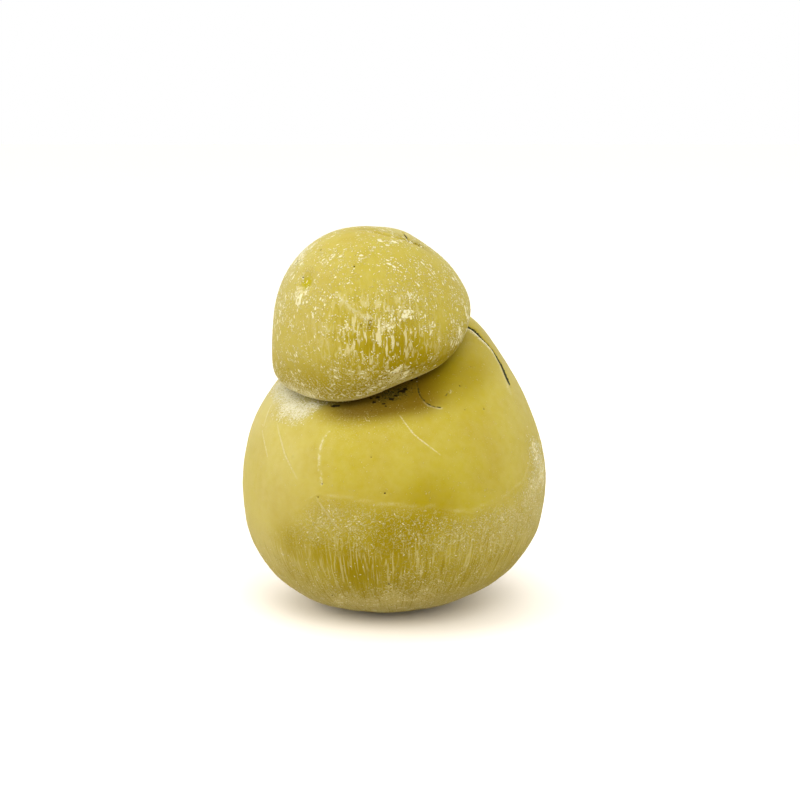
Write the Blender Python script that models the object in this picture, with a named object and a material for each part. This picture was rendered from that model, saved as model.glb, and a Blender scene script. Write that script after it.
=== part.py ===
"""Provolone cheese: one solid piece of stretched curd.

A round belly narrows to a tied throat, and the head above it has sagged forward and to the left,
so that its lip hangs over the throat.  The form is a loft of rings along a bent spine.  The belly
is a full superellipse below its widest ring and an ellipse above it, cut where the string drew it
in, and the head is half an ellipse over its lip.  Hands pressed it in and swelled it a little, and
left a crease across the back of the head.
Metres, +Z up, -Y is the front, and the origin is on the table under the middle of the belly.
"""

import math

import bmesh
import bpy
import numpy as np

# Belly: its widest ring, the spot it stands on, and the collar that the string drew it in to
BELLY_RADIUS = 0.067
BELLY_HEIGHT = 0.0545
BELLY_POWER = 2.3
SHOULDER_RISE = 0.074
FOOT_RADIUS = 0.015
FOOT_SHIFT = -0.008
COLLAR_RADIUS = 0.040
COLLAR_SHIFT = -0.003
COLLAR_LEAN = 25.0

# Throat under the head, and the underside of the lip that hangs over it
THROAT_RADIUS = 0.026
THROAT_CENTRE = (-0.005, -0.002, 0.1165)
THROAT_LEAN = 28.0
UNDERSIDE_RADIUS = 0.041
UNDERSIDE_CENTRE = (-0.009, -0.005, 0.117)
UNDERSIDE_LEAN = 29.0

# Head: half an ellipse that stands on the ring of its lip and slumps level towards its top
LIP_RADIUS = 0.043
LIP_CENTRE = (-0.009, -0.008, 0.1245)
LIP_LEAN = 24.0
HEAD_TOP = (-0.013, -0.013, 0.1693)

# The side that the head sags to, counted from the right and round by the back
LEAN_TURN = 240.0

# Hollows and swellings left on the head by the hands that closed it: place to the right, to the
# back and up, spread, and how far the surface is pushed out
FRONT_OF_LIP = (0.004, -0.036, 0.101, 0.018, -0.004)
LEFT_OF_LIP = (-0.050, -0.010, 0.104, 0.015, 0.0035)
BACK_LOBE = (-0.001, 0.014, 0.163, 0.013, 0.005)
PRESSES = (FRONT_OF_LIP, LEFT_OF_LIP, BACK_LOBE)

# The crease that parts the back lobe from the front of the head
CREASE_START = (-0.020, 0.002, 0.170)
CREASE_END = (0.011, 0.017, 0.161)
CREASE_WIDTH = 0.0045
CREASE_DEPTH = 0.0025

# Spans of the loft, and the rings and segments that they are drawn with
LOWER_SPANS = 4
UPPER_SPANS = 4
HEAD_SPANS = 5
RINGS_PER_SPAN = 4
SEGMENTS = 76

# Columns of a row that describes one ring
CENTRE = slice(0, 3)
AXIS = slice(3, 6)
RADIUS = 6

SHORTEST = 1e-12
CHEESE_COLOUR = (0.58, 0.45, 0.12, 1.0)
CHEESE_ROUGHNESS = 0.5


def ring_row(centre, lean, radius):
    """Row of one ring: its centre, its axis leaning to the side that the head sags to, its radius."""
    lean = math.radians(lean)
    turn = math.radians(LEAN_TURN)
    axis = (math.sin(lean) * math.cos(turn), math.sin(lean) * math.sin(turn), math.cos(lean))
    return (*centre, *axis, radius)


def lower_belly():
    """Rings from the foot up to just under the widest one."""
    foot_angle = math.acos((FOOT_RADIUS / BELLY_RADIUS) ** (BELLY_POWER / 2.0))
    depth = BELLY_HEIGHT / math.sin(foot_angle) ** (2.0 / BELLY_POWER)
    rows = []
    for i in range(LOWER_SPANS):
        share = 1.0 - i / LOWER_SPANS
        angle = share * foot_angle
        radius = BELLY_RADIUS * math.cos(angle) ** (2.0 / BELLY_POWER)
        height = BELLY_HEIGHT - depth * math.sin(angle) ** (2.0 / BELLY_POWER)
        rows.append(ring_row((FOOT_SHIFT * share ** 2, 0.0, height), 0.0, radius))
    return rows


def upper_belly():
    """Rings from the widest one up to the collar, bending over towards the throat."""
    collar_angle = math.acos(COLLAR_RADIUS / BELLY_RADIUS)
    rows = []
    for i in range(UPPER_SPANS + 1):
        share = i / UPPER_SPANS
        angle = share * collar_angle
        radius = BELLY_RADIUS * math.cos(angle)
        height = BELLY_HEIGHT + SHOULDER_RISE * math.sin(angle)
        rows.append(ring_row((COLLAR_SHIFT * share ** 3, 0.0, height), COLLAR_LEAN * share ** 3, radius))
    return rows


def head():
    """Rings from the lip to the top of the head, sliding over and levelling out as they rise."""
    rows = []
    for i in range(HEAD_SPANS + 1):
        angle = 0.5 * math.pi * i / HEAD_SPANS
        risen = math.sin(angle)
        slid = risen * (2.0 - risen)
        right = LIP_CENTRE[0] + (HEAD_TOP[0] - LIP_CENTRE[0]) * slid
        back = LIP_CENTRE[1] + (HEAD_TOP[1] - LIP_CENTRE[1]) * slid
        height = LIP_CENTRE[2] + (HEAD_TOP[2] - LIP_CENTRE[2]) * risen
        rows.append(ring_row((right, back, height), LIP_LEAN * (1.0 - risen), LIP_RADIUS * math.cos(angle)))
    return rows


def smooth_rows(rows, per_span):
    """Rows eased through the given ones by a cubic whose knots follow the length of the profile."""
    steps = np.hypot(np.linalg.norm(np.diff(rows[:, CENTRE], axis=0), axis=1), np.diff(rows[:, RADIUS]))
    knots = np.concatenate(((0.0,), np.cumsum(steps)))
    slopes = np.gradient(rows, knots, axis=0)
    slopes[-1, CENTRE] = 0.0
    slopes[-1, AXIS] = 0.0
    eased = []
    for i in range(len(rows) - 1):
        span = knots[i + 1] - knots[i]
        for j in range(per_span):
            t = j / per_span
            eased.append((2 * t ** 3 - 3 * t ** 2 + 1) * rows[i]
                         + (t ** 3 - 2 * t ** 2 + t) * span * slopes[i]
                         + (3 * t ** 2 - 2 * t ** 3) * rows[i + 1]
                         + (t ** 3 - t ** 2) * span * slopes[i + 1])
    eased.append(rows[-1])
    return np.array(eased)


def ring_points(row, segments):
    """Points of one ring, counted from the right and round by the back."""
    axis = row[AXIS] / np.linalg.norm(row[AXIS])
    side = np.cross((0.0, 1.0, 0.0), axis)
    side = side / np.linalg.norm(side)
    away = np.cross(axis, side)
    turn = np.linspace(0.0, 2.0 * math.pi, segments, endpoint=False)[:, None]
    return row[CENTRE] + row[RADIUS] * (np.cos(turn) * side + np.sin(turn) * away)


def outward_normals(points, top_axis):
    """Unit normals of a grid of rings, with the head's own axis at the closed top."""
    round_ring = np.roll(points, -1, axis=1) - np.roll(points, 1, axis=1)
    up_spine = np.gradient(points, axis=0)
    normals = np.cross(round_ring, up_spine)
    normals[-1] = top_axis
    return normals / np.maximum(np.linalg.norm(normals, axis=2, keepdims=True), SHORTEST)


def distance_to_line(points, start, end):
    """Distance of every point from the straight piece between two places."""
    start = np.array(start)
    run = np.array(end) - start
    along = np.clip((points - start) @ run / (run @ run), 0.0, 1.0)
    return np.linalg.norm(points - start - along[..., None] * run, axis=-1)


def loft_points():
    """All rings of the cheese as an array of rings, segments and coordinates."""
    throat = ring_row(THROAT_CENTRE, THROAT_LEAN, THROAT_RADIUS)
    underside = ring_row(UNDERSIDE_CENTRE, UNDERSIDE_LEAN, UNDERSIDE_RADIUS)
    belly = lower_belly() + upper_belly()
    rows = smooth_rows(np.array(belly + [throat, underside] + head()), RINGS_PER_SPAN)
    points = np.array([ring_points(row, SEGMENTS) for row in rows])
    push = np.zeros(points.shape[:2])
    for right, back, up, spread, depth in PRESSES:
        away = np.linalg.norm(points - np.array((right, back, up)), axis=2)
        push += depth * np.exp(-(away / spread) ** 2)
    past_throat = np.arange(len(rows)) / RINGS_PER_SPAN - len(belly)
    push *= np.clip(past_throat, 0.0, 1.0)[:, None]
    away = distance_to_line(points, CREASE_START, CREASE_END)
    push -= CREASE_DEPTH * np.exp(-(away / CREASE_WIDTH) ** 2)
    return points + outward_normals(points, rows[-1][AXIS]) * push[:, :, None]


# ---- build
for old in list(bpy.data.objects):
    bpy.data.objects.remove(old, do_unlink=True)

# Skin of the cheese: quads between the rings, closed by a flat fan at the foot and one at the top
points = loft_points()
skin = bmesh.new()
rings = [[skin.verts.new(point) for point in ring] for ring in points[:-1]]
heel = skin.verts.new(points[0].mean(axis=0))
peak = skin.verts.new(points[-1][0])
for j in range(SEGMENTS):
    k = (j + 1) % SEGMENTS
    skin.faces.new((rings[0][k], rings[0][j], heel))
    skin.faces.new((rings[-1][j], rings[-1][k], peak))
    for lower, upper in zip(rings, rings[1:]):
        skin.faces.new((lower[j], lower[k], upper[k], upper[j]))
for face in skin.faces:
    face.smooth = True
bmesh.ops.recalc_face_normals(skin, faces=skin.faces)
bmesh.ops.triangulate(skin, faces=skin.faces)

curd = bpy.data.meshes.new("cheese")
skin.to_mesh(curd)
skin.free()
cheese = bpy.data.objects.new("cheese", curd)
bpy.context.scene.collection.objects.link(cheese)

rind = bpy.data.materials.new("cheese_rind")
rind.use_nodes = True
shader = rind.node_tree.nodes["Principled BSDF"]
shader.inputs["Base Color"].default_value = CHEESE_COLOUR
shader.inputs["Roughness"].default_value = CHEESE_ROUGHNESS
shader.inputs["Metallic"].default_value = 0.0
curd.materials.append(rind)
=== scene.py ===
"""Looks of a provolone: the rind of a small hanging cheese of stretched curd.

Metres, +Z up, and -Y is the front.  Marks on the rind are given in millimetres to the right, to
the back and up from the middle under the belly, and each is laid on the skin at its nearest point.
"""

import math

import bmesh
import bpy
import numpy as np
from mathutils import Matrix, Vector, kdtree, noise
from mathutils.bvhtree import BVHTree


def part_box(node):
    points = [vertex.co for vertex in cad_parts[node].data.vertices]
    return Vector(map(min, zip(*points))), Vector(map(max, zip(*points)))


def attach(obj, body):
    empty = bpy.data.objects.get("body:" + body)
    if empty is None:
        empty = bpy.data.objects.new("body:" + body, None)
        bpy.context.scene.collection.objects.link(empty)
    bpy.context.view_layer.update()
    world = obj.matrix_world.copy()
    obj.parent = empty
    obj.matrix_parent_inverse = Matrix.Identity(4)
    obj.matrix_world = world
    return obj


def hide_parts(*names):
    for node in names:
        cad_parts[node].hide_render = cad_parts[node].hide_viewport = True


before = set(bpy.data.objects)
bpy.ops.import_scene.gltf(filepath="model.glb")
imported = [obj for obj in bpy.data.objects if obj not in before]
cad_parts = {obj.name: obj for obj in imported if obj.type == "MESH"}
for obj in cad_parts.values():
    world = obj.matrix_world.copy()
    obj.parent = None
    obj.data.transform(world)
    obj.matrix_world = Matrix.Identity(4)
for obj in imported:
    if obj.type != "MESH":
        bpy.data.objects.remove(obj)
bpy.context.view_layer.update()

MM = 0.001
low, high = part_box("cheese")
belly_radius = 0.5 * (high.x - low.x)
height = high.z


# ---- The curd
# One ball of hot stretched curd, kneaded and moulded by hand, tied at the throat and hung to ripen.
# Its skin is the solid's own form, welded and rounded twice, and cut finer where the marks lie.
ROUNDINGS = 2
FINE_REACH = 2.0 * MM
FINEST_REACH = 1.0 * MM


def welded(node):
    """Quads made from a copy of a solid's loose triangles."""
    grid = bmesh.new()
    grid.from_mesh(node.data)
    bmesh.ops.remove_doubles(grid, verts=grid.verts, dist=0.01 * MM)
    bmesh.ops.join_triangles(
        grid, faces=grid.faces,
        angle_face_threshold=math.radians(60.0), angle_shape_threshold=math.radians(60.0),
    )
    return grid


def rounded(grid, name, levels):
    """Mesh of a grid after so many roundings by subdivision."""
    cage = bpy.data.meshes.new(name)
    grid.to_mesh(cage)
    grid.free()
    holder = bpy.data.objects.new(name, cage)
    bpy.context.scene.collection.objects.link(holder)
    rounding = holder.modifiers.new("rounding", "SUBSURF")
    rounding.levels = levels
    rounding.render_levels = levels
    depsgraph = bpy.context.evaluated_depsgraph_get()
    mesh = bpy.data.meshes.new_from_object(holder.evaluated_get(depsgraph))
    bpy.data.objects.remove(holder)
    return mesh


skin_mesh = rounded(welded(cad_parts["cheese"]), "curd_skin", ROUNDINGS)
skin = bmesh.new()
skin.from_mesh(skin_mesh)
smooth_skin = BVHTree.FromBMesh(skin)


def laid(places, step=0.5):
    """Even curve through places in millimetres, laid on the skin, as an array in metres."""
    knots = np.array(places, float)
    before = np.concatenate((2 * knots[:1] - knots[1:2], knots, 2 * knots[-1:] - knots[-2:-1]))
    curve = []
    for i in range(len(knots) - 1):
        a, b, c, d = before[i:i + 4]
        for t in np.arange(0.0, 1.0, step / max(np.linalg.norm(c - b), step)):
            curve.append(0.5 * (2 * b + (c - a) * t + (2 * a - 5 * b + 4 * c - d) * t ** 2
                                + (3 * b - a - 3 * c + d) * t ** 3))
    curve.append(knots[-1])
    return np.array([smooth_skin.find_nearest(Vector(point) * MM)[0] for point in curve])


# Mark left by the string on the right shoulder: a groove with a ledge on its lower side
STRING_GROOVE = laid(((33, 0, 124.5), (35, -1, 123), (38, -4, 120), (40.5, -5, 117.5), (43, -6, 114.5),
                      (44.7, -8, 111.5), (46.5, -10, 108.5), (48, -13, 105), (49.6, -16, 101), (50, -18, 99.3)))
# Cracks: one that curves below the throat, and a short one beside it
CRACKS = (
    laid(((9.8, -32.3, 104.6), (10.2, -34.6, 103.3), (11, -38.5, 101), (12.7, -41.6, 99.5), (14.7, -44.2, 98.3),
          (16.8, -45.2, 97.6), (19.3, -45.5, 97.3))),
    laid(((21.9, -39.3, 101.2), (23.2, -37.2, 102.5))),
)
# A crease where the front of the head was folded over the lobe at its back
HEAD_CREASE = laid(((-11.8, -21, 168.3), (-6.7, -21.8, 167.8), (-0.8, -22.1, 166.3), (3.9, -20.3, 165),
                    (8.1, -18.8, 163.4), (11.5, -16, 161.4)))
# A dark cut that runs back from the crease
DARK_CUT = laid(((4.2, -3, 166), (4.7, -9.5, 165.7), (5.6, -14.4, 165.2), (6.4, -17.5, 164.6)))
# Scratches filled with chalky bloom
SCRATCHES = (
    laid(((2.6, -50.3, 94.4), (5, -53.8, 91.8), (8, -56.7, 88.5), (12.5, -58.5, 85), (19.3, -59.3, 80))),
    laid(((-51.2, -13, 94.8), (-54, -17.4, 90.4), (-55.8, -23, 84.5))),
    laid(((-56.7, -24, 82.7), (-55, -31, 78), (-54, -36, 74))),
)
# A chalky drip that runs down from the bloom under the lip
CHALK_DRIP = laid(((-26.9, -50.8, 87.7), (-29.4, -52.2, 84.6), (-30.6, -54.1, 80.3), (-31, -56.2, 74.9),
                   (-30.1, -58, 70.2), (-29.7, -58.8, 67)))
# Fold edges: the skin steps down a little on their right
FOLDS = (
    laid(((-50, -28, 88.5), (-47.7, -38, 82), (-45.7, -44.1, 76.8), (-42.6, -49, 71.9), (-39.1, -53.2, 66.5))),
    laid(((-33.1, -57.7, 62.9), (-28.5, -60.5, 56.3), (-23.9, -62.4, 50.5), (-20.2, -63.5, 47.7))),
)
# A pale scar across the front of the head
HEAD_SCAR = laid(((-23, -46.1, 144.5), (-18, -48.9, 139.5), (-11.8, -50.5, 135.6)))
# Pinholes: right, back, up and radius
PINHOLES = (
    (-31, -27, 161.5, 0.7), (-24, -32.5, 162, 0.4), (-16, -37.3, 160.5, 0.4), (-16.5, -41.2, 156.4, 0.7),
    (-47, -28, 122.3, 0.5), (-18, -50, 132.6, 0.5), (-45, -28, 110.3, 0.5), (33.3, -25, 112.4, 0.5),
    (28.3, -35, 106, 0.7), (-0.3, -46.2, 111.8, 0.5), (3.4, -44.9, 112, 0.4), (8, -41.7, 111, 0.6),
    (1.8, -42.7, 108.2, 0.4), (4.5, -42.5, 109.5, 0.4), (-3.4, -46, 110.4, 0.4), (38.4, -39, 95.6, 0.6), (30.2, -44, 96.5, 0.4), (63, -15, 73, 0.5),
    (-9.3, -61.8, 79.5, 0.6), (-3.6, -66, 65.3, 0.8), (-1, -66.7, 48.5, 0.4), (-2, -58.8, 24, 0.8),
    (-26.3, -45.4, 15.3, 0.8), (-64, -18.8, 48, 0.5), (-53, -41, 52.7, 0.4), (-29.7, -58.8, 67.4, 0.7),
    (-31.4, -58.8, 61.8, 0.6), (22, 60, 70, 0.6), (-35, 52, 88, 0.5), (48, 44, 58, 0.7), (-8, 64, 44, 0.6),
    (-22, 24, 145, 0.5), (12, 26, 138, 0.5), (60, 20, 84, 0.5), (-60, 18, 92, 0.4),
)
# A pit shaped like a drop, and a dimple where a finger lifted the wax
DROP_PIT = laid(((-9.6, -50, 134), (-9.8, -50, 132.5), (-9.9, -50, 130.8)))
DIMPLE = (-36.6, -34, 148)
DIMPLE_RADIUS = 5.2

pin_places = np.array([smooth_skin.find_nearest(Vector(pin[:3]) * MM)[0] for pin in PINHOLES])
dimple_place = np.array(smooth_skin.find_nearest(Vector(DIMPLE) * MM)[0])
fine_marks = np.concatenate((STRING_GROOVE, *CRACKS, HEAD_CREASE, DARK_CUT, *SCRATCHES, CHALK_DRIP, *FOLDS, HEAD_SCAR, DROP_PIT,
                             pin_places))


def cut_finer(grid, places, reach):
    """Cuts every face near the places into four."""
    tree = kdtree.KDTree(len(places))
    for i, place in enumerate(places):
        tree.insert(place, i)
    tree.balance()
    near = [face for face in grid.faces if tree.find(face.calc_center_median())[2] < reach]
    edges = {edge for face in near for edge in face.edges}
    bmesh.ops.subdivide_edges(grid, edges=list(edges), cuts=1, use_grid_fill=True)


cut_finer(skin, fine_marks, FINE_REACH)
cut_finer(skin, fine_marks, FINEST_REACH)
bmesh.ops.triangulate(skin, faces=[face for face in skin.faces if len(face.verts) > 4])
for face in skin.faces:
    face.smooth = True
skin.normal_update()
skin.to_mesh(skin_mesh)
skin.free()

count = len(skin_mesh.vertices)
points = np.empty(count * 3)
skin_mesh.vertices.foreach_get("co", points)
points = points.reshape(-1, 3)
normals = np.empty(count * 3)
skin_mesh.vertices.foreach_get("normal", normals)
normals = normals.reshape(-1, 3)


def rough(size, seed, detail=2.0):
    """Soft lumps of one size in metres over the whole skin, from about -1 to 1."""
    offset = Vector((seed * 7.3, seed * 3.1, seed * 5.7))
    return np.array([noise.fractal(Vector(point) / size + offset, 1.0, 2.0, detail) for point in points])


def beside(path):
    """Distance of every point of the skin from a path, how far along it (0 to 1), and which side."""
    apart = np.full(count, 1.0)
    along = np.zeros(count)
    side = np.zeros(count)
    margin = 12 * MM
    close = np.all((points > path.min(axis=0) - margin) & (points < path.max(axis=0) + margin), axis=1)
    here = points[close]
    gaps = np.linalg.norm(here[:, None] - path[None], axis=2)
    nearest = gaps.argmin(axis=1)
    apart[close] = gaps.min(axis=1)
    along[close] = nearest / max(len(path) - 1, 1)
    tangents = np.gradient(path, axis=0)
    across = np.cross(tangents[nearest], normals[close])
    across /= np.maximum(np.linalg.norm(across, axis=1, keepdims=True), 1e-9)
    side[close] = np.einsum("ij,ij->i", here - path[nearest], across)
    return apart, along, side


def bell(distance, width):
    """1 at no distance, falling off over one width."""
    return np.exp(-(distance / width) ** 2)


def ease(values, start, end):
    """0 before the start, 1 after the end, and smooth between them."""
    t = np.clip((values - start) / (end - start), 0.0, 1.0)
    return t * t * (3.0 - 2.0 * t)


relief = np.zeros(count)
chalk = np.zeros(count)
mould = np.zeros(count)
dark = np.zeros(count)

# Unevenness that the hands and the ripening shelf left: broad on the whole cheese, lumpier low down
broad = rough(34 * MM, 1)
lumps = rough(11 * MM, 2)
small = rough(4 * MM, 3)
low_down = 1.0 - ease(points[:, 2], 30 * MM, 62 * MM)
relief += 0.35 * MM * broad + (0.10 + 0.16 * low_down) * MM * lumps + 0.035 * MM * small

# String groove: deep at the throat and shallower down the shoulder
apart, along, side = beside(STRING_GROOVE)
fading = 1.0 - 0.5 * ease(along, 0.3, 0.8) - 0.5 * ease(along, 0.8, 1.0)
relief -= 1.1 * MM * bell(apart, 1.0 * MM) * fading
relief += 0.4 * MM * bell(apart - 1.9 * MM, 1.0 * MM) * fading * (side > 0)
lower_half = ease(along, 0.40, 0.62)
groove_edge = bell(side + 0.6 * MM, (0.9 + 0.5 * lower_half) * MM) * bell(apart, 1.9 * MM)
# Dark line on the groove's side away from the ledge: painted shade on the far wall in the upper half, mould in the
# lower half
mould = np.maximum(mould, (1.15 + 0.25 * lower_half) * groove_edge * (1.0 - ease(along, 0.86, 1.0)))
chalk = np.maximum(chalk, 0.9 * bell(apart - 1.9 * MM, 0.8 * MM) * (side > 0) * (1.0 - 0.7 * lower_half))

# Cracks, each with a dark line: part mould, part painted shade in the crack
for path in CRACKS:
    apart, along, side = beside(path)
    relief -= 0.28 * MM * bell(apart, 0.5 * MM)
    mould = np.maximum(mould, 1.1 * bell(apart, 0.5 * MM) * (0.9 + 0.4 * small))
    chalk = np.maximum(chalk, 0.3 * bell(apart - 0.9 * MM, 0.3 * MM) * (side > 0) * ease(along, 0.5, 0.8))

# The crease on the head, with the lobe behind it a little lower; painted shade darkens the crease and
# the lobe behind it with amber and black-green
apart, along, side = beside(HEAD_CREASE)
behind = ease(points[:, 1] + 21 * MM, 0.0, 3 * MM) * bell(apart, 6 * MM)
relief -= 1.2 * MM * bell(apart, 1.0 * MM) * ease(along, 0.0, 0.2)
relief -= 0.4 * MM * behind
crease_shade_amber = 0.7 * behind
crease_shade = np.maximum(0.95 * bell(apart, 0.8 * MM) * ease(along, 0.45, 0.7), 0.60 * behind)
apart, along, side = beside(DARK_CUT)
relief -= 0.5 * MM * bell(apart, 0.6 * MM)
dark = np.maximum(dark, 1.1 * bell(apart, 0.6 * MM) * np.sin(math.pi * np.clip(along, 0.1, 0.9)))

# Scratches and the drip: thin raised lines of chalky bloom
for path in SCRATCHES:
    apart, along, side = beside(path)
    relief += 0.10 * MM * bell(apart, 0.5 * MM)
    chalk = np.maximum(chalk, 0.75 * bell(apart, 0.25 * MM) * (0.5 + 0.5 * np.sin(math.pi * along)))
apart, along, side = beside(CHALK_DRIP)
relief += 0.12 * MM * bell(apart, 0.8 * MM)
drip_broken = ease(rough(1.7 * MM, 9), -0.35, 0.30)
chalk = np.maximum(chalk, 0.5 * bell(apart, 0.6 * MM) * drip_broken)

# Folds
for path in FOLDS:
    apart, along, side = beside(path)
    ends = np.sin(math.pi * np.clip(along, 0.02, 0.98))
    relief += 0.22 * MM * np.tanh(-side / (0.6 * MM)) * bell(apart, 5 * MM) * ends
    chalk = np.maximum(chalk, 0.5 * bell(apart, 0.45 * MM) * ends)

# The scar on the head
apart, along, side = beside(HEAD_SCAR)
relief += 0.16 * MM * bell(apart, 1.1 * MM)
chalk = np.maximum(chalk, 0.35 * bell(apart, 1.2 * MM))

# Pinholes, the drop-shaped pit and the dimple
for place, pin in zip(pin_places, PINHOLES):
    apart = np.linalg.norm(points - place, axis=1)
    relief -= 0.5 * pin[3] * MM * bell(apart, pin[3] * MM)
    dark = np.maximum(dark, 0.85 * bell(apart, 0.6 * pin[3] * MM))
apart, along, side = beside(DROP_PIT)
relief -= 0.6 * MM * bell(apart, (0.6 + 0.4 * along) * MM)
drop_amber = bell(apart, 1.1 * MM)
apart = np.linalg.norm(points - dimple_place, axis=1) * (1.0 + 0.22 * lumps)
relief -= 1.3 * MM * (1.0 - ease(apart, 0.25 * DIMPLE_RADIUS * MM, DIMPLE_RADIUS * MM))
relief += 0.25 * MM * bell(apart - 1.25 * DIMPLE_RADIUS * MM, 1.6 * MM)
dimple_rim = bell(apart - 0.85 * DIMPLE_RADIUS * MM, 1.6 * MM)
dimple_floor = 1.0 - ease(apart * (1.0 + 0.3 * small), 1.8 * MM, 4.2 * MM)

# Which part of the cheese a point is on, told by the leaning plane of the throat
THROAT = np.array((-5, -2, 116.5)) * MM
THROAT_RADIUS = 26 * MM
THROAT_LEAN = math.radians(28.0)
LEAN_TURN = math.radians(240.0)
THROAT_AXIS = np.array((math.sin(THROAT_LEAN) * math.cos(LEAN_TURN), math.sin(THROAT_LEAN) * math.sin(LEAN_TURN),
                        math.cos(THROAT_LEAN)))
over_throat = (points - THROAT) @ THROAT_AXIS
across_throat = np.linalg.norm(points - THROAT - over_throat[:, None] * THROAT_AXIS, axis=1)
HEAD_MIDDLE = np.array((-12, -12, 136)) * MM
HEAD_REACH = 52 * MM
is_head = (over_throat > 0.6 * MM) & (np.linalg.norm(points - HEAD_MIDDLE, axis=1) < HEAD_REACH)
# Painted shade under the lip, around the throat: strongest at the front, fainter to the sides and behind, with some of
# the curd's deeper amber there
crevice = 1.0 - ease(np.hypot(across_throat - THROAT_RADIUS, over_throat), 22 * MM, 35 * MM)
crevice *= ease(points[:, 0], -36 * MM, -18 * MM) * (1.0 - 0.8 * ease(points[:, 0], 10 * MM, 28 * MM))
crevice *= 1.0 - 0.8 * ease(points[:, 1], -14 * MM, 20 * MM)

# The lip's rolled edge is smooth where the head turns under, with a shallow furrow just above it;
# its rim is painted paler: a painted highlight along the edge
under = -normals[:, 2]
at_lip = is_head * (across_throat > 30 * MM)
lip_rim = ease(under, 0.58, 0.70) * at_lip
lip_furrow = bell(under - 0.54, 0.06) * at_lip
relief -= 0.40 * MM * lip_furrow * (0.7 + 0.3 * lumps)

# Height of the line below which the shelf rubbed the wax off the belly: turn counted from the right
# and round by the back, in degrees, and height in millimetres
RUB_LINE = ((-158, 46), (-140, 48), (-127, 56), (-117, 64), (-105, 62), (-89, 61), (-77, 59), (-62, 56),
            (-46, 60), (-36, 63), (-21, 76), (10, 72), (40, 62), (75, 66), (110, 60), (150, 66), (180, 58))
turn = np.degrees(np.arctan2(points[:, 1], points[:, 0]))
turns = np.array([place[0] for place in RUB_LINE], float)
heights = np.array([place[1] for place in RUB_LINE], float) * MM
rub_height = np.interp(turn, turns, heights, period=360.0) + 1.2 * MM * lumps
below_line = rub_height - points[:, 2]
left_side = np.maximum(bell((turn + 152.0) / 32.0, 1.0), bell((turn - 180.0) / 40.0, 1.0))
right_side = bell((turn + 10.0) / 36.0, 1.0)
rubbed = ease(below_line, -2.0 * MM, (6 + 16 * left_side + 10 * right_side) * MM) * ~is_head
rubbed *= 1.0 - 0.15 * left_side
rub_ridge = bell(below_line - 0.5 * MM, 0.9 * MM) * ~is_head
relief += 0.12 * MM * rub_ridge
rub_white = bell(below_line, 0.5 * MM) * ~is_head * ease(rough(7 * MM, 12), -0.5, 0.4)
chalk = np.maximum(chalk, 0.20 * (1.0 - left_side) * rub_white)

relief *= ease(points[:, 2], 0.0, 3 * MM)
points += normals * relief[:, None]
skin_mesh.vertices.foreach_set("co", points.ravel())
skin_mesh.update()
skin_mesh.calc_loop_triangles()


# ---- What lies on the rind
# Bloom, wax, stains and the painted shade and light change from place to place: each is worked out
# over the skin and kept with it, from 0 for none to 1 for all, and the rind's material reads them.
# Places are right, back and up in millimetres, then reach in millimetres and strength.
BLOOM_PATCHES = (
    (-51, 0, 98.5, 5, 0.8), (-48, -10, 98, 6, 0.9), (-45, -16, 97, 6, 1.0), (-45, -26, 94, 7, 1.0),
    (-40, -33, 93, 6, 0.9), (-36, -30, 95, 6, 0.9), (-29, -39, 94, 5, 0.2), (-20, -48, 92, 5, 0.15),
    (-10, -50, 93, 5, 0.2), (2, -46, 112.5, 5, 0.5), (62, -22, 74, 7, 0.9), (64, -16, 64, 7, 0.8),
    (60, -30, 60, 7, 0.5), (0, -52, 17, 9, 0.35), (13, -52, 20, 8, 0.3), (-20, -47, 15, 8, 0.25), (-44, 20, 96, 10, 0.6), (-20, 55, 84, 12, 0.4), (40, 50, 70, 14, 0.4),
    (-45, -8, 146, 8, 0.4), (-44, -20, 136, 9, 0.3), (-40, -34.5, 142, 4, 0.6), (-40, -18, 156, 6, 0.45),
    (30, -30, 124, 8, 0.4), (34, -20, 130, 8, 0.4), (4, -46, 134, 10, 0.35),
)
AMBER_WINDOWS = (
    (3, -48, 121, 9, 1.0), (-9, -51, 124, 5, 0.7), (11, -44, 117, 6, 0.8), (-16, -50, 126, 4, 0.6),
    (0, -66, 45, 9, 0.9), (8, -66, 50, 7, 0.7), (-17, -62, 34, 9, 0.9), (-30, -56, 38, 7, 0.6),
    (-42, -48, 40, 9, 0.6), (14, -64, 60, 12, 0.4), (25, -30, 108, 12, 0.6),
    (20, 58, 60, 14, 0.5), (-40, 48, 48, 12, 0.5), (58, 22, 60, 12, 0.5),
)
# Mould: black-green specks in the throat's shade, in the dimple and on the lobe at the back
MOULD_SPECKS = (
    (-25.4, -33.4, 95.3, 1.4), (-23.8, -33.8, 95.4, 1.3), (-9.7, -34, 98.9, 0.8), (-8.4, -36.9, 97.7, 0.8),
    (-6.7, -34.5, 99.4, 1.0), (-4.1, -39.7, 97.4, 0.9), (-3.3, -41.4, 96.9, 0.6), (3.4, -34.4, 102, 1.7),
    (4.7, -33.7, 102.7, 1.3), (-0.8, -37.6, 99.1, 1.0), (0.9, -36.4, 100.2, 0.8), (7.3, -29.5, 105.8, 1.1),
    (9.4, -28.9, 106.5, 0.8), (-9.6, -43.5, 95.2, 0.6), (-5.8, -42.2, 96.2, 0.6), (-14.2, -38, 98, 0.6),
    (-38.8, -31.2, 149.9, 1.0), (-37.6, -32.6, 149.7, 0.8), (-34.5, -36, 145.2, 0.4),
    (-13.5, -49.5, 132.4, 0.4),
)


def patches(places):
    """Soft-edged patches at places in millimetres, each with its reach and strength."""
    total = np.zeros(count)
    for right, back, up, reach, strength in places:
        apart = np.linalg.norm(points - np.array((right, back, up)) * MM, axis=1)
        total = np.maximum(total, strength * bell(apart * (1.0 + 0.2 * lumps), reach * MM))
    return total


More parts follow.
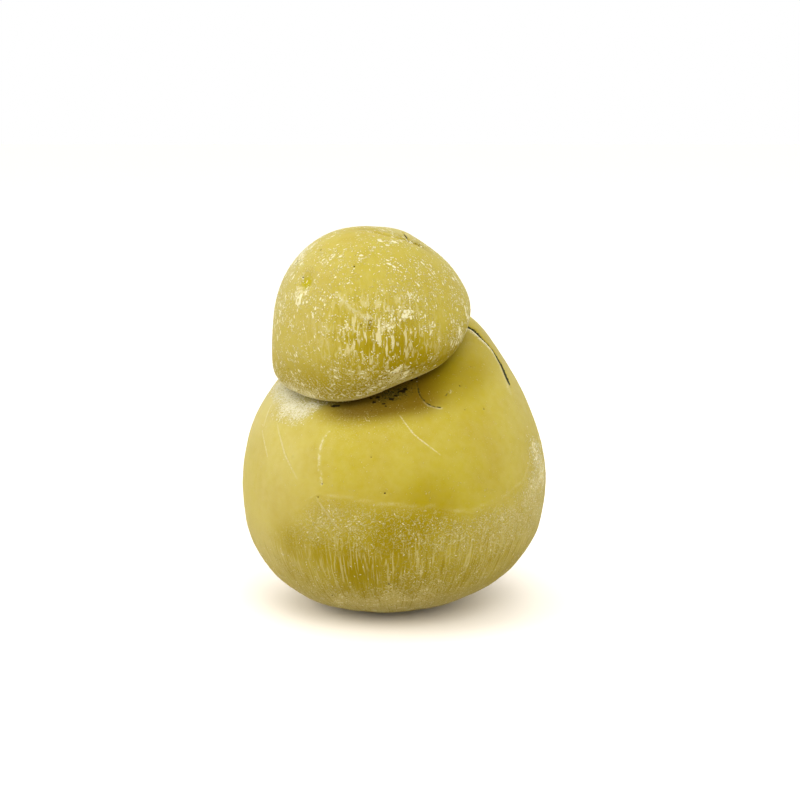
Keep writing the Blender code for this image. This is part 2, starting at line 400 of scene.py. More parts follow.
front = ease(-points[:, 1], -10 * MM, 30 * MM)
head_low = is_head * (1.0 - ease(points[:, 2] - 0.20 * points[:, 0], 104 * MM, 131 * MM))
near_floor = 1.0 - ease(points[:, 2], 3 * MM, 22 * MM)
edge_patches = patches(BLOOM_PATCHES)
windows = patches(AMBER_WINDOWS)

bloom_head = is_head * (0.26 + 0.42 * head_low + 0.22 * lumps + 0.12 * broad)
bloom_belly = ~is_head * (0.04 + 0.38 * rubbed + 0.70 * near_floor)
bloom = bloom_head + bloom_belly + edge_patches + 0.3 * dimple_rim - 1.1 * windows - 0.4 * lip_rim
# The shoulder under the lip takes the painted shade: deep amber, fewer flecks and a brown laid over it
painted_shade_under_head = ~is_head * crevice
# Front middle of the belly: kept deeper while the haze paints the sides paler, a painted stand-in for sheen at the
# edges
middle = front * bell(points[:, 0], 44 * MM)
# Deep amber: in the windows, the pit and the rubbed lumps it is the curd's own; low on the head it is part bare curd,
# part painted shade; in the front middle of the rubbed belly it stands against the sheen painted on the sides, and
# under the lip it is painted shade
amber = windows + drop_amber + 0.22 * lumps * rubbed + 0.85 * head_low * (1.0 - lip_rim) + 0.50 * rubbed * middle
amber = amber * (1.0 - 0.8 * near_floor) + 0.55 * painted_shade_under_head + crease_shade_amber
net = rubbed * ease(points[:, 2], 34 * MM, 44 * MM) + 0.25 * patches(((-20, -48, 92, 12, 1.0), (0, -54, 90, 9, 0.8)))
streak = ~is_head * rubbed * (1.0 - ease(points[:, 2] + 12 * MM * rough(7 * MM, 14), 32 * MM, 54 * MM))
front_of_head = bell(np.hypot(points[:, 0] + 7 * MM, 1.3 * (points[:, 2] - 127 * MM)), 20 * MM)
drip = is_head * front_of_head * (points[:, 1] < 0)
fleck = is_head * (0.80 + 0.30 * lumps + 0.15 * head_low - 0.6 * lip_rim) - 0.8 * windows - 0.25 * painted_shade_under_head
fleck += ~is_head * (0.30 + 0.50 * rubbed + 0.50 * near_floor) + 0.9 * edge_patches

specks = np.zeros(count)
for right, back, up, radius in MOULD_SPECKS:
    apart = np.linalg.norm((points - np.array((right, back, up)) * MM) * (0.7, 0.9, 1.9), axis=1)
    specks = np.maximum(specks, 1.15 * bell(apart * (1.0 + 0.6 * small), 0.85 * radius * MM))
dark = np.maximum(dark, specks)
under_front = bell(points[:, 0] - 0.0 * MM, 16 * MM) * bell(points[:, 1] + 35 * MM, 8 * MM)
mould = np.maximum(mould, 0.74 * under_front * ~is_head * ease(points[:, 2], 93 * MM, 98 * MM))
mould = np.maximum(mould, crease_shade)
mould = np.maximum(mould, 0.60 * bell(np.linalg.norm(points - np.array((-37, -36, 144.8)) * MM, axis=1), 2.0 * MM))
mould = np.maximum(mould, 0.60 * bell(np.linalg.norm(points - np.array((-41, -20, 154)) * MM, axis=1), 4.5 * MM))

# Thick dry bloom close under the left of the lip, and smears of it beside the dimple
THICK_BLOOM = (
    (-50, -4, 99, 5, 0.8), (-47, -13, 98, 6, 1.0), (-44, -20, 97, 6, 1.0), (-42, -27, 95, 6, 1.0),
    (-40, -33, 93, 5, 0.9), (-37, -28, 96, 5, 0.8), (-40.5, -34, 142, 2.5, 0.25), (-38, -16, 158, 4, 0.5),
    (-41, -18, 154.5, 3, 0.5), (-44, -21, 149.5, 3, 0.3),
)
chalk = np.maximum(chalk, 0.75 * patches(THICK_BLOOM))

# Haze: the thin dry film that pales the wax, most of all on the left and on the top of the head. The
# paleness on the left, at the belly's edges beside its front middle and along the lip's rim is part film
# and part painted light: light from the left, and sheen at the edges and on the rim.
right = points[:, 0]
haze = ~is_head * (0.16 + 0.3 * ease(points[:, 1], 0.0, 50 * MM) + 0.60 * ease(-right, 18 * MM, 58 * MM) + 0.3 * ease(right, 30 * MM, 62 * MM))
haze += is_head * (0.22 + 0.30 * ease(-right, 12 * MM, 46 * MM)) * (1.0 - 0.6 * head_low)
haze = haze * (1.0 + 0.3 * broad) + 1.2 * lip_rim + 1.2 * near_floor + 0.35 * rubbed * (1.0 - middle) - 0.6 * windows

stroked = is_head + ~is_head * (0.4 * (1.0 - rubbed) + 0.10) + edge_patches
layers = {"bloom": bloom, "haze": haze, "fleck": fleck, "stroked": stroked, "amber": amber, "net": net, "streak": streak,
          "drip": drip, "crevice": painted_shade_under_head, "mould": mould, "dark": dark, "chalk": chalk,
          "sunny": dimple_floor}
for name, values in layers.items():
    layer = skin_mesh.attributes.new(name, "FLOAT", "POINT")
    layer.data.foreach_set("value", np.clip(values, 0.0, 1.5).astype(np.float32))

skin_mesh.materials.clear()
provolone = bpy.data.objects.new("provolone_skin", skin_mesh)
bpy.context.scene.collection.objects.link(provolone)


# ---- The rind
# A thin waxy skin of dried curd, smoothed by brine and the hand, dusted with dry white bloom.
def linear(hex_colour):
    """Linear colour of an sRGB hex value."""
    channels = [int(hex_colour[i:i + 2], 16) / 255.0 for i in (1, 3, 5)]
    return (*[c / 12.92 if c <= 0.04045 else ((c + 0.055) / 1.055) ** 2.4 for c in channels], 1.0)


def add(tree, kind, settings=None, inputs=None):
    """Adds one node with its settings, and sets or links its inputs."""
    node = tree.nodes.new(kind)
    for name, value in (settings or {}).items():
        setattr(node, name, value)
    for name, value in (inputs or {}).items():
        if isinstance(value, bpy.types.NodeSocket):
            tree.links.new(value, node.inputs[name])
        else:
            node.inputs[name].default_value = value
    return node


# Gold of the curd through its skin, deep amber where it is bare and where shade is painted, and the
# dry white of the bloom
GOLD = linear("#a4961f")
DEEP_GOLD = linear("#998607")
BARE_AMBER_AND_SHADE = linear("#8c7a00")
BLOOM_BEIGE = linear("#c4b988")
BLOOM_WHITE = linear("#d9d4b2")
# Brown of the painted shade under the lip
PAINTED_SHADE_BROWN = linear("#5a3f00")
# Black-green of mould, also laid as painted shade in cracks, creases and the groove
MOULD_AND_SHADE_GREEN = linear("#2a2d14")
PIT_BROWN = linear("#1a0f02")
CHALK_WHITE = linear("#d4d0b6")
SUNNY = linear("#a29500")
WAX_ROUGHNESS = 0.42
BLOOM_ROUGHNESS = 0.80
CURD_IOR = 1.45
STROKES_TURN = 40 * MM / 3.6

rind = bpy.data.materials.new("waxy_curd_rind")
rind.use_nodes = True
tree = rind.node_tree
shader = tree.nodes["Principled BSDF"]
place = add(tree, "ShaderNodeTexCoord").outputs["Object"]
on_skin = {name: add(tree, "ShaderNodeAttribute", {"attribute_name": name}).outputs["Fac"] for name in layers}

# Clouds in the curd, 18 mm across, between gold and deep gold, then the haze with its painted light,
# then the amber of bare places and of painted shade
clouds = add(tree, "ShaderNodeTexNoise", inputs={"Vector": place, "Scale": 1 / (18 * MM), "Detail": 3.0})
cloud_share = add(tree, "ShaderNodeMapRange", {"interpolation_type": "SMOOTHSTEP"},
                  {"Value": clouds.outputs["Fac"], "From Min": 0.10, "From Max": 1.0})
gold = add(tree, "ShaderNodeMix", {"data_type": "RGBA"},
           {"Factor": cloud_share.outputs["Result"], 6: GOLD, 7: DEEP_GOLD})
mottle = add(tree, "ShaderNodeTexNoise", inputs={"Vector": place, "Scale": 1 / (3.5 * MM), "Detail": 3.0})
haze_level = add(tree, "ShaderNodeMath", {"operation": "MULTIPLY_ADD"},
                 {0: mottle.outputs["Fac"], 1: 0.26, 2: -0.08})
# Haze and painted light: paler on the lit left side, at the belly's edges and along the lip's rim
haze_and_light_part = add(tree, "ShaderNodeMath", {"operation": "MULTIPLY_ADD", "use_clamp": True},
                {0: on_skin["haze"], 1: 0.42, 2: haze_level.outputs[0]})
hazed_and_lit = add(tree, "ShaderNodeMix", {"data_type": "RGBA"},
            {"Factor": haze_and_light_part.outputs[0], 6: gold.outputs[2], 7: BLOOM_BEIGE})
amber_level = add(tree, "ShaderNodeMath", {"operation": "MULTIPLY_ADD"},
                  {0: mottle.outputs["Fac"], 1: 0.8, 2: -0.4})
amber_and_shade_uneven = add(tree, "ShaderNodeMath", {"operation": "MULTIPLY"},
                   {0: on_skin["amber"], 1: amber_level.outputs[0]})
amber_and_shade_part = add(tree, "ShaderNodeMath", {"operation": "ADD", "use_clamp": True},
                 {0: on_skin["amber"], 1: amber_and_shade_uneven.outputs[0]})
with_amber_and_shade = add(tree, "ShaderNodeMix", {"data_type": "RGBA"},
                 {"Factor": amber_and_shade_part.outputs[0], 6: hazed_and_lit.outputs[2], 7: BARE_AMBER_AND_SHADE})

# Streaks that run down the belly and meet under it, under a millimetre wide: bloom on their ridges,
# bare amber between them
apart_xy = add(tree, "ShaderNodeVectorMath", {"operation": "MULTIPLY"}, {0: place, 1: (1.0, 1.0, 0.0)})
outward = add(tree, "ShaderNodeVectorMath", {"operation": "NORMALIZE"}, {0: apart_xy.outputs[0]})
spread = add(tree, "ShaderNodeVectorMath", {"operation": "SCALE"},
             {0: outward.outputs[0], "Scale": belly_radius / (0.8 * MM)})
rise = add(tree, "ShaderNodeVectorMath", {"operation": "MULTIPLY"}, {0: place, 1: (0.0, 0.0, 1 / (9 * MM))})
streak_place = add(tree, "ShaderNodeVectorMath", {"operation": "ADD"},
                   {0: spread.outputs[0], 1: rise.outputs[0]})
streaks = add(tree, "ShaderNodeTexNoise", inputs={
    "Vector": streak_place.outputs[0], "Scale": 1.0, "Detail": 2.0, "Roughness": 0.5, "Distortion": 0.5})
streak_ridges = add(tree, "ShaderNodeMapRange", {"interpolation_type": "SMOOTHSTEP"},
                    {"Value": streaks.outputs["Fac"], "From Min": 0.53, "From Max": 0.64})
streak_here = add(tree, "ShaderNodeMath", {"operation": "MULTIPLY"},
                  {0: streak_ridges.outputs["Result"], 1: on_skin["streak"]})
streak_gaps = add(tree, "ShaderNodeMapRange", {"interpolation_type": "SMOOTHSTEP"},
                  {"Value": streaks.outputs["Fac"], "From Min": 0.44, "From Max": 0.34})
streak_gaps_here = add(tree, "ShaderNodeMath", {"operation": "MULTIPLY"},
                       {0: streak_gaps.outputs["Result"], 1: on_skin["streak"]})

# Drips of bloom on the front of the head, a millimetre wide, with bare amber slots between them
hanging = add(tree, "ShaderNodeVectorMath", {"operation": "MULTIPLY"},
              {0: place, 1: (1 / (1.5 * MM), 1 / (1.5 * MM), 1 / (7 * MM))})
drips = add(tree, "ShaderNodeTexNoise", inputs={
    "Vector": hanging.outputs[0], "Scale": 1.0, "Detail": 3.0, "Roughness": 0.6, "Distortion": 0.7})
drip_runs = add(tree, "ShaderNodeMapRange", {"interpolation_type": "SMOOTHSTEP"},
                {"Value": drips.outputs["Fac"], "From Min": 0.52, "From Max": 0.60})
drip_here = add(tree, "ShaderNodeMath", {"operation": "MULTIPLY"},
                {0: drip_runs.outputs["Result"], 1: on_skin["drip"]})
drip_slots = add(tree, "ShaderNodeMapRange", {"interpolation_type": "SMOOTHSTEP"},
                 {"Value": drips.outputs["Fac"], "From Min": 0.46, "From Max": 0.38})
slots_here = add(tree, "ShaderNodeMath", {"operation": "MULTIPLY"},
                 {0: drip_slots.outputs["Result"], 1: on_skin["drip"]})
gaps_here = add(tree, "ShaderNodeMath", {"operation": "MAXIMUM"},
                {0: streak_gaps_here.outputs[0], 1: slots_here.outputs[0]})
gaps_part = add(tree, "ShaderNodeMath", {"operation": "MULTIPLY"}, {0: gaps_here.outputs[0], 1: 0.8})
with_gaps = add(tree, "ShaderNodeMix", {"data_type": "RGBA"},
                {"Factor": gaps_part.outputs[0], 6: with_amber_and_shade.outputs[2], 7: BARE_AMBER_AND_SHADE})
# Painted shade under the lip: a brown laid over the shoulder there
painted_shade_part = add(tree, "ShaderNodeMath", {"operation": "MULTIPLY"}, {0: on_skin["crevice"], 1: 0.8})
painted_shade_laid = add(tree, "ShaderNodeMix", {"data_type": "RGBA"},
               {"Factor": painted_shade_part.outputs[0], 6: with_gaps.outputs[2], 7: PAINTED_SHADE_BROWN})

# Grain of the bloom, 0.7 mm across: it closes up where there is much of it
grain = add(tree, "ShaderNodeTexNoise", inputs={
    "Vector": place, "Scale": 1 / (0.75 * MM), "Detail": 3.0, "Roughness": 0.6, "Distortion": 0.3})
grain_drift = add(tree, "ShaderNodeTexNoise", inputs={"Vector": place, "Scale": 1 / (4.5 * MM), "Detail": 2.0})
grain_level = add(tree, "ShaderNodeMath", {"operation": "MULTIPLY_ADD"},
                  {0: on_skin["bloom"], 1: 0.30, 2: -0.80})
grain_lifted = add(tree, "ShaderNodeMath", {"operation": "MULTIPLY_ADD"},
                   {0: grain_drift.outputs["Fac"], 1: 0.22, 2: grain_level.outputs[0]})
grain_over = add(tree, "ShaderNodeMath", {"operation": "ADD"},
                 {0: grain.outputs["Fac"], 1: grain_lifted.outputs[0]})
grain_mask = add(tree, "ShaderNodeMapRange", {"interpolation_type": "SMOOTHSTEP"},
                 {"Value": grain_over.outputs[0], "From Min": -0.03, "From Max": 0.05})

# A net of hair-fine wrinkles whitened by bloom: edges of clouds under two millimetres across
hairs = add(tree, "ShaderNodeTexNoise", inputs={
    "Vector": place, "Scale": 1 / (1.7 * MM), "Detail": 2.0, "Roughness": 0.55, "Distortion": 0.8})
hair_off = add(tree, "ShaderNodeMath", {"operation": "SUBTRACT"}, {0: hairs.outputs["Fac"], 1: 0.5})
hair_apart = add(tree, "ShaderNodeMath", {"operation": "ABSOLUTE"}, {0: hair_off.outputs[0]})
hair_lines = add(tree, "ShaderNodeMapRange", {"interpolation_type": "SMOOTHSTEP"},
                 {"Value": hair_apart.outputs[0], "From Min": 0.030, "From Max": 0.010})
hair_here = add(tree, "ShaderNodeMath", {"operation": "MULTIPLY"},
                {0: hair_lines.outputs["Result"], 1: on_skin["net"]})

# Flecks of bloom: strokes that run round the head, each a different size, and shorter ones between
# them.  Their place is told as the distance from the middle of the head and the way round it.
from_head = add(tree, "ShaderNodeVectorMath", {"operation": "SUBTRACT"}, {0: place, 1: tuple(HEAD_MIDDLE)})
head_way = add(tree, "ShaderNodeSeparateXYZ", inputs={"Vector": from_head.outputs[0]})
in_plane = add(tree, "ShaderNodeVectorMath", {"operation": "MULTIPLY"}, {0: from_head.outputs[0], 1: (1.0, 0.0, 1.0)})
out_of_middle = add(tree, "ShaderNodeVectorMath", {"operation": "LENGTH"}, {0: in_plane.outputs[0]})
way_round = add(tree, "ShaderNodeMath", {"operation": "ARCTAN2"}, {0: head_way.outputs["X"], 1: head_way.outputs["Z"]})
round_length = add(tree, "ShaderNodeMath", {"operation": "MULTIPLY"}, {0: way_round.outputs[0], 1: STROKES_TURN})
round_place = add(tree, "ShaderNodeCombineXYZ", inputs={
    "X": out_of_middle.outputs["Value"], "Y": head_way.outputs["Y"], "Z": round_length.outputs[0]})
stroke_cells = add(tree, "ShaderNodeTexVoronoi", inputs={
    "Vector": round_place.outputs["Vector"], "Scale": 1 / (1.15 * MM)})
stroke_draw = add(tree, "ShaderNodeSeparateColor", inputs={"Color": stroke_cells.outputs["Color"]})
fleck_drift = add(tree, "ShaderNodeMapRange", inputs={
    "Value": grain_drift.outputs["Fac"], "From Min": 0.3, "From Max": 0.7, "To Min": 0.35, "To Max": 1.15})
fleck_here = add(tree, "ShaderNodeMath", {"operation": "MULTIPLY"},
                 {0: fleck_drift.outputs["Result"], 1: on_skin["fleck"]})
strokes_here = add(tree, "ShaderNodeMath", {"operation": "MULTIPLY"},
                   {0: fleck_here.outputs[0], 1: on_skin["stroked"]})
stroke_size = add(tree, "ShaderNodeMath", {"operation": "MULTIPLY"},
                  {0: stroke_draw.outputs[0], 1: strokes_here.outputs[0]})
stroke_reach = add(tree, "ShaderNodeMath", {"operation": "MULTIPLY_ADD"},
                   {0: stroke_size.outputs[0], 1: 0.62, 2: -0.08})
stroke_over = add(tree, "ShaderNodeMath", {"operation": "SUBTRACT"},
                  {0: stroke_reach.outputs[0], 1: stroke_cells.outputs["Distance"]})
strokes = add(tree, "ShaderNodeMapRange", {"interpolation_type": "SMOOTHSTEP"},
              {"Value": stroke_over.outputs[0], "From Min": -0.06, "From Max": 0.08})
dot_cells = add(tree, "ShaderNodeTexVoronoi", inputs={"Vector": place, "Scale": 1 / (0.95 * MM)})
dot_draw = add(tree, "ShaderNodeSeparateColor", inputs={"Color": dot_cells.outputs["Color"]})
dot_size = add(tree, "ShaderNodeMath", {"operation": "MULTIPLY"},
               {0: dot_draw.outputs[0], 1: fleck_here.outputs[0]})
dot_reach = add(tree, "ShaderNodeMath", {"operation": "MULTIPLY_ADD"},
                {0: dot_size.outputs[0], 1: 0.6, 2: -0.10})
dot_over = add(tree, "ShaderNodeMath", {"operation": "SUBTRACT"},
               {0: dot_reach.outputs[0], 1: dot_cells.outputs["Distance"]})
dots = add(tree, "ShaderNodeMapRange", {"interpolation_type": "SMOOTHSTEP"},
           {"Value": dot_over.outputs[0], "From Min": -0.06, "From Max": 0.08})
spots = add(tree, "ShaderNodeMath", {"operation": "MAXIMUM"},
            {0: strokes.outputs["Result"], 1: dots.outputs["Result"]})
hair_part = add(tree, "ShaderNodeMath", {"operation": "MULTIPLY"}, {0: hair_here.outputs[0], 1: 0.5})
drip_part = add(tree, "ShaderNodeMath", {"operation": "MULTIPLY"}, {0: drip_here.outputs[0], 1: 0.45})
fine_lines = add(tree, "ShaderNodeMath", {"operation": "MAXIMUM"}, {0: hair_part.outputs[0], 1: drip_part.outputs[0]})
flecks = add(tree, "ShaderNodeMath", {"operation": "MAXIMUM"}, {0: spots.outputs[0], 1: fine_lines.outputs[0]})

# Beige bloom first, then its whitest flecks and the chalk in scratches, broken along their length
streak_part = add(tree, "ShaderNodeMath", {"operation": "MULTIPLY"}, {0: streak_here.outputs[0], 1: 0.75})
runs = add(tree, "ShaderNodeMath", {"operation": "MAXIMUM"}, {0: streak_part.outputs[0], 1: drip_here.outputs[0]})
soft_bloom = add(tree, "ShaderNodeMath", {"operation": "MAXIMUM"},
                 {0: grain_mask.outputs["Result"], 1: runs.outputs[0]})
slot_bare = add(tree, "ShaderNodeMath", {"operation": "MULTIPLY_ADD"}, {0: gaps_here.outputs[0], 1: -0.4, 2: 0.68})
beige_part = add(tree, "ShaderNodeMath", {"operation": "MULTIPLY"},
                 {0: soft_bloom.outputs[0], 1: slot_bare.outputs[0]})
beiged = add(tree, "ShaderNodeMix", {"data_type": "RGBA"},
             {"Factor": beige_part.outputs[0], 6: painted_shade_laid.outputs[2], 7: BLOOM_BEIGE})
sunny = add(tree, "ShaderNodeMix", {"data_type": "RGBA"},
            {"Factor": on_skin["sunny"], 6: beiged.outputs[2], 7: SUNNY})
fleck_part = add(tree, "ShaderNodeMath", {"operation": "MULTIPLY"}, {0: flecks.outputs[0], 1: 0.8})
flecked = add(tree, "ShaderNodeMix", {"data_type": "RGBA"},
              {"Factor": fleck_part.outputs[0], 6: sunny.outputs[2], 7: BLOOM_WHITE})
chalk_broken = add(tree, "ShaderNodeMapRange", {"interpolation_type": "SMOOTHSTEP"},
                   {"Value": grain.outputs["Fac"], "From Min": 0.38, "From Max": 0.54, "To Min": 0.15})
chalk_here = add(tree, "ShaderNodeMath", {"operation": "MULTIPLY"},
                 {0: on_skin["chalk"], 1: chalk_broken.outputs["Result"]})
chalked = add(tree, "ShaderNodeMix", {"data_type": "RGBA"},
              {"Factor": chalk_here.outputs[0], 6: flecked.outputs[2], 7: CHALK_WHITE})

# Mould, the painted shade in cracks, creases and the groove, and pits have ragged edges: the grain eats
# into them
mould_and_shade_ragged = add(tree, "ShaderNodeMath", {"operation": "MULTIPLY_ADD"},
                   {0: grain.outputs["Fac"], 1: -1.6, 2: on_skin["mould"]})
mould_and_shade_mask = add(tree, "ShaderNodeMapRange", {"interpolation_type": "SMOOTHSTEP"},
                 {"Value": mould_and_shade_ragged.outputs[0], "From Min": -0.25, "From Max": 0.10})
with_mould_and_shade = add(tree, "ShaderNodeMix", {"data_type": "RGBA"},
              {"Factor": mould_and_shade_mask.outputs["Result"], 6: chalked.outputs[2], 7: MOULD_AND_SHADE_GREEN})
dark_ragged = add(tree, "ShaderNodeMath", {"operation": "MULTIPLY_ADD"},
                  {0: grain.outputs["Fac"], 1: -1.0, 2: on_skin["dark"]})
dark_mask = add(tree, "ShaderNodeMapRange", {"interpolation_type": "SMOOTHSTEP"},
                {"Value": dark_ragged.outputs[0], "From Min": -0.15, "From Max": 0.15})
pitted = add(tree, "ShaderNodeMix", {"data_type": "RGBA"},
             {"Factor": dark_mask.outputs["Result"], 6: with_mould_and_shade.outputs[2], 7: PIT_BROWN})
tree.links.new(pitted.outputs[2], shader.inputs["Base Color"])

# Wax shines softly, and bloom is dull and stands a tenth of a millimetre proud
white_part = add(tree, "ShaderNodeMath", {"operation": "MAXIMUM"},
                 {0: soft_bloom.outputs[0], 1: flecks.outputs[0]})
dull = add(tree, "ShaderNodeMapRange", inputs={
    "Value": white_part.outputs[0], "To Min": WAX_ROUGHNESS, "To Max": BLOOM_ROUGHNESS})
tree.links.new(dull.outputs["Result"], shader.inputs["Roughness"])
peel = add(tree, "ShaderNodeTexNoise", inputs={"Vector": place, "Scale": 1 / (1.6 * MM), "Detail": 2.0})
proud = add(tree, "ShaderNodeMath", {"operation": "MULTIPLY_ADD"},
            {0: peel.outputs["Fac"], 1: 0.35, 2: white_part.outputs[0]})
bump = add(tree, "ShaderNodeBump", inputs={"Height": proud.outputs[0], "Distance": 0.14 * MM, "Strength": 1.0})
tree.links.new(bump.outputs["Normal"], shader.inputs["Normal"])
shader.inputs["IOR"].default_value = CURD_IOR
shader.inputs["Subsurface Weight"].default_value = 0.2
shader.inputs["Subsurface Radius"].default_value = (1.0, 0.65, 0.2)
shader.inputs["Subsurface Scale"].default_value = 3 * MM
shader.inputs["Specular IOR Level"].default_value = 0.10
shader.inputs["Sheen Weight"].default_value = 0.03
shader.inputs["Sheen Roughness"].default_value = 0.5
shader.inputs["Sheen Tint"].default_value = linear("#efe6b4")

skin_mesh.materials.append(rind)
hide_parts("cheese")
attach(provolone, "root")


# ---- Crumbs of bloom
# Dry white crumbs of bloom and salt that gather under the lip and cling to the head: flat chips a
# third to three quarters of a millimetre across, half sunk in the rind.
CRUMB_REACH = 0.30 * MM
CRUMBS_AT_MOST = 3.2 / MM ** 2
CRUMB_SEED = 7

crumb = 0.9 * patches((
    (-51, 0, 98.5, 4, 0.8), (-48, -10, 98, 5, 0.9), (-45, -16, 97, 5, 1.0), (-45, -26, 94, 6, 1.0),
    (-40, -33, 93, 5, 1.0), (-36, -30, 95, 5, 0.7), (-38, -17, 157, 4, 0.3), (63, -20, 70, 8, 0.3)))
crumb += 0.035 * is_head * (1.0 + lumps) + 0.010 * rubbed
crumb *= ease(points[:, 2], 3 * MM, 6 * MM)
layer = skin_mesh.attributes.new("crumb", "FLOAT", "POINT")
layer.data.foreach_set("value", np.clip(crumb, 0.0, 1.0).astype(np.float32))

dry_bloom = bpy.data.materials.new("dry_bloom")
dry_bloom.use_nodes = True
crumb_tree = dry_bloom.node_tree
crumb_shader = crumb_tree.nodes["Principled BSDF"]
crumb_place = add(crumb_tree, "ShaderNodeTexCoord").outputs["Object"]
crumb_tint = add(crumb_tree, "ShaderNodeTexNoise", inputs={
    "Vector": crumb_place, "Scale": 1 / (1.2 * MM), "Detail": 1.0})
crumb_colour = add(crumb_tree, "ShaderNodeMix", {"data_type": "RGBA"},
                   {"Factor": crumb_tint.outputs["Fac"], 6: linear("#beb68e"), 7: linear("#dedac4")})
crumb_tree.links.new(crumb_colour.outputs[2], crumb_shader.inputs["Base Color"])
crumb_shader.inputs["Roughness"].default_value = 0.85

scatter = bpy.data.node_groups.new("crumb_scatter", "GeometryNodeTree")
scatter.is_modifier = True
scatter.interface.new_socket("Geometry", in_out="INPUT", socket_type="NodeSocketGeometry")
reach_input = scatter.interface.new_socket("Crumb Reach", in_out="INPUT", socket_type="NodeSocketFloat")
crowd_input = scatter.interface.new_socket("Crumbs At Most", in_out="INPUT", socket_type="NodeSocketFloat")
scatter.interface.new_socket("Geometry", in_out="OUTPUT", socket_type="NodeSocketGeometry")
given = add(scatter, "NodeGroupInput")
here = add(scatter, "GeometryNodeInputNamedAttribute", {"data_type": "FLOAT"}, {"Name": "crumb"})
crowd = add(scatter, "ShaderNodeMath", {"operation": "MULTIPLY"},
            {0: here.outputs["Attribute"], 1: given.outputs["Crumbs At Most"]})
strewn = add(scatter, "GeometryNodeDistributePointsOnFaces", inputs={
    "Mesh": given.outputs["Geometry"], "Density": crowd.outputs[0], "Seed": CRUMB_SEED})
chip = add(scatter, "GeometryNodeMeshIcoSphere", inputs={"Radius": 1.0, "Subdivisions": 1})
chip_shape = add(scatter, "FunctionNodeRandomValue", {"data_type": "FLOAT_VECTOR"}, {
    "Min": (0.5, 0.3, 0.25), "Max": (2.4, 0.8, 0.55), "Seed": CRUMB_SEED + 1})
chip_size = add(scatter, "ShaderNodeVectorMath", {"operation": "SCALE"},
                {0: chip_shape.outputs["Value"], "Scale": given.outputs["Crumb Reach"]})
chip_turn = add(scatter, "FunctionNodeRandomValue", {"data_type": "FLOAT_VECTOR"}, {
    "Min": (-0.3, -0.3, 0.0), "Max": (0.3, 0.3, 2 * math.pi), "Seed": CRUMB_SEED + 2})
lying = add(scatter, "FunctionNodeRotateRotation", {"rotation_space": "LOCAL"}, {
    "Rotation": strewn.outputs["Rotation"], "Rotate By": chip_turn.outputs["Value"]})
crumbs = add(scatter, "GeometryNodeInstanceOnPoints", inputs={
    "Points": strewn.outputs["Points"], "Instance": chip.outputs["Mesh"],
    "Rotation": lying.outputs["Rotation"], "Scale": chip_size.outputs[0]})
real = add(scatter, "GeometryNodeRealizeInstances", inputs={"Geometry": crumbs.outputs["Instances"]})
dressed = add(scatter, "GeometryNodeSetMaterial", inputs={"Geometry": real.outputs["Geometry"], "Material": dry_bloom})
add(scatter, "NodeGroupOutput", inputs={"Geometry": dressed.outputs["Geometry"]})

carrier = bpy.data.objects.new("crumb_carrier", skin_mesh.copy())
bpy.context.scene.collection.objects.link(carrier)
strewing = carrier.modifiers.new("strewing", "NODES")
strewing.node_group = scatter
strewing[reach_input.identifier] = CRUMB_REACH
strewing[crowd_input.identifier] = CRUMBS_AT_MOST
depsgraph = bpy.context.evaluated_depsgraph_get()
crumb_mesh = bpy.data.meshes.new_from_object(carrier.evaluated_get(depsgraph))
bpy.data.objects.remove(carrier)
bloom_crumbs = bpy.data.objects.new("bloom_crumbs", crumb_mesh)
bpy.context.scene.collection.objects.link(bloom_crumbs)
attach(bloom_crumbs, "root")


# ---- Table, light and camera
# A white table under a white sky, one large soft lamp high on the left, and a long lens.
TABLE_SIZE = 6.0
LENS = 92.0
DISTANCE = 0.9
ELEVATION = math.radians(11.0)
AIM = Vector((0.0026, 0.0, 0.54 * height))

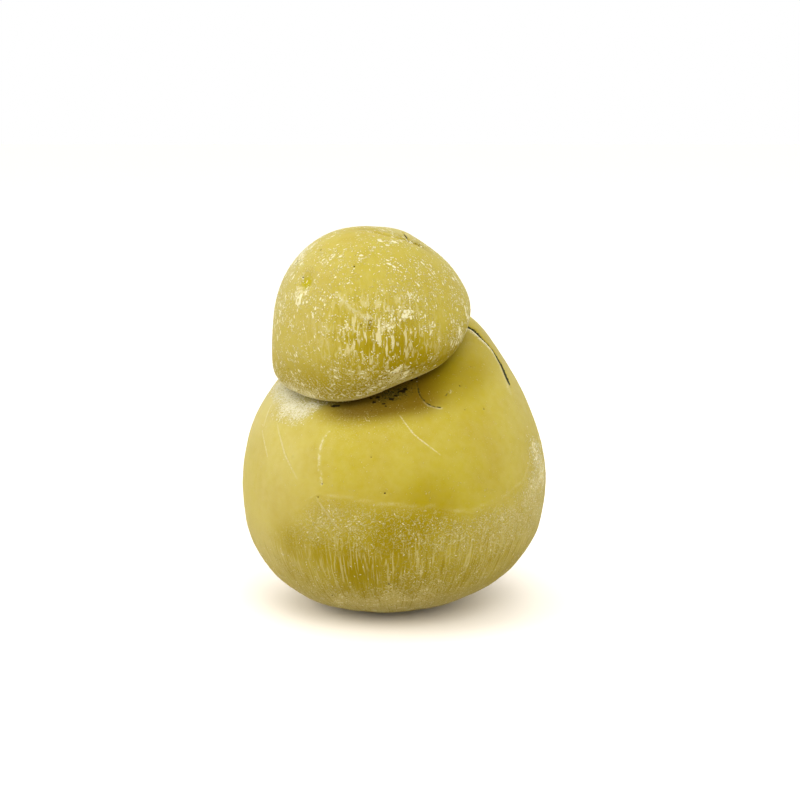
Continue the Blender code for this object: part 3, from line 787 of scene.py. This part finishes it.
corners = [(x * TABLE_SIZE / 2, y * TABLE_SIZE / 2, 0.0) for x, y in ((-1, -1), (1, -1), (1, 1), (-1, 1))]
table_mesh = bpy.data.meshes.new("table")
table_mesh.from_pydata(corners, [], [(0, 1, 2, 3)])
table = bpy.data.objects.new("table", table_mesh)
bpy.context.scene.collection.objects.link(table)
paper = bpy.data.materials.new("white_paper")
paper.use_nodes = True
paper_tree = paper.node_tree
seen = add(paper_tree, "ShaderNodeLightPath").outputs["Is Camera Ray"]
paper_colour = add(paper_tree, "ShaderNodeMix", {"data_type": "RGBA"},
                   {"Factor": seen, 6: linear("#c2b688"), 7: linear("#fff8ed")})
paper_tree.links.new(paper_colour.outputs[2], paper_tree.nodes["Principled BSDF"].inputs["Base Color"])
paper_tree.nodes["Principled BSDF"].inputs["Roughness"].default_value = 0.9
table_mesh.materials.append(paper)

# The sky is white to the eye, and lights the cheese from above more than from the sides
SKY_TOP = 1.18
SKY_SIDE = 1.0
sky = bpy.data.worlds.new("white_sky")
sky.use_nodes = True
sky_tree = sky.node_tree
background = sky_tree.nodes["Background"]
direction = add(sky_tree, "ShaderNodeTexCoord").outputs["Generated"]
upward = add(sky_tree, "ShaderNodeSeparateXYZ", inputs={"Vector": direction})
sky_light = add(sky_tree, "ShaderNodeMapRange", inputs={
    "Value": upward.outputs["Z"], "From Min": 0.0, "From Max": 0.9, "To Min": SKY_SIDE, "To Max": SKY_TOP})
eye = add(sky_tree, "ShaderNodeLightPath").outputs["Is Camera Ray"]
sky_seen = add(sky_tree, "ShaderNodeMix", {"data_type": "FLOAT"},
               {"Factor": eye, "A": sky_light.outputs["Result"], "B": 1.0})
background.inputs["Color"].default_value = linear("#ffffff")
sky_tree.links.new(sky_seen.outputs["Result"], background.inputs["Strength"])
bpy.context.scene.world = sky


def lamp(name, place, size, power):
    """Square soft lamp that faces the middle of the cheese."""
    light = bpy.data.lights.new(name, "AREA")
    light.size = size
    light.energy = power
    holder = bpy.data.objects.new(name, light)
    holder.location = place
    holder.rotation_euler = (Vector((0.0, 0.0, 0.5 * height)) - Vector(place)).to_track_quat("-Z", "Y").to_euler()
    bpy.context.scene.collection.objects.link(holder)


lamp("top_lamp", (-0.15, 0.0, 1.1), 1.2, 3.4)
lamp("front_lamp", (0.35, -1.0, 0.9), 0.9, 8.4)
lamp("left_lamp", (-1.0, -0.3, 0.5), 0.8, 5.2)

lens = bpy.data.cameras.new("long_lens")
lens.lens = LENS
lens.sensor_width = 36.0
camera = bpy.data.objects.new("camera", lens)
camera.location = AIM + DISTANCE * Vector((0.0, -math.cos(ELEVATION), math.sin(ELEVATION)))
camera.rotation_euler = (0.5 * math.pi - ELEVATION, 0.0, 0.0)
bpy.context.scene.collection.objects.link(camera)
bpy.context.scene.camera = camera
bpy.context.scene.view_settings.view_transform = "Standard"
